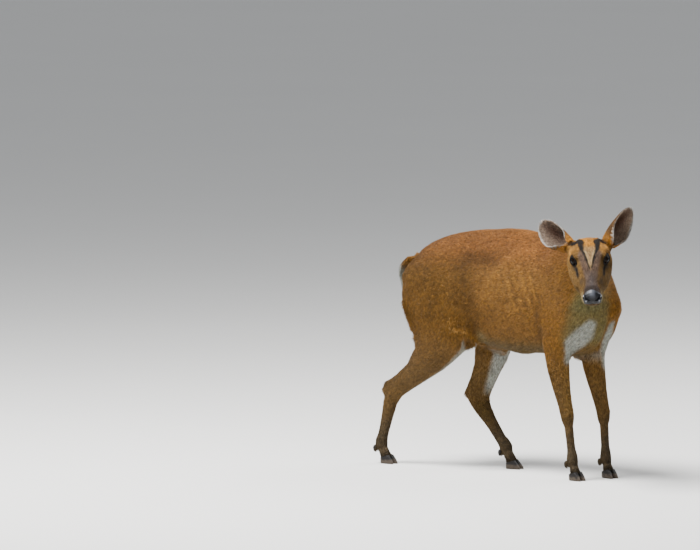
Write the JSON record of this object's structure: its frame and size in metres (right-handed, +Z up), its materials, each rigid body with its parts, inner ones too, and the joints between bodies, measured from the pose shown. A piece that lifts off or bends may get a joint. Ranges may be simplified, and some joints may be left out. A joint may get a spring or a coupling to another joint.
{
  "type": "muntjac",
  "caption": "Life-size museum model of a muntjac doe, standing in mid-stride with her head turned aside and her ears spread.",
  "frame": {"origin": "on the ground, under the middle of the whole animal's box", "axes": "+X along the trunk towards the chest, +Y to the animal's left, +Z up"},
  "size_m": [0.7842, 0.3174, 0.6125],
  "materials": {
    "coat": "short flat red-brown hair",
    "face": "short hair, orange-brown with black stripes",
    "ear": "thin skin with sparse grey-brown hair",
    "tail": "longer hair, orange above and white below",
    "shank": "short brown hair",
    "nose": "moist bare black skin",
    "eye": "wet gloss",
    "hoof": "dark satin horn"
  },
  "bodies": {
    "root": {"torso": "coat", "neck": "coat", "head": "face", "nose": "nose", "ear_left": "ear", "ear_right": "ear", "eye_left": "eye", "eye_right": "eye", "tail": "tail", "leg_fore_left_upper": "coat", "leg_fore_left_lower": "shank", "leg_fore_right_upper": "coat", "leg_fore_right_lower": "shank", "leg_hind_left_upper": "coat", "leg_hind_left_lower": "shank", "leg_hind_right_upper": "coat", "leg_hind_right_lower": "shank", "hoof_fore_left_inner": "hoof", "hoof_fore_left_outer": "hoof", "hoof_fore_right_inner": "hoof", "hoof_fore_right_outer": "hoof", "hoof_hind_left_inner": "hoof", "hoof_hind_left_outer": "hoof", "hoof_hind_right_inner": "hoof", "hoof_hind_right_outer": "hoof"}
  },
  "joints": []
}
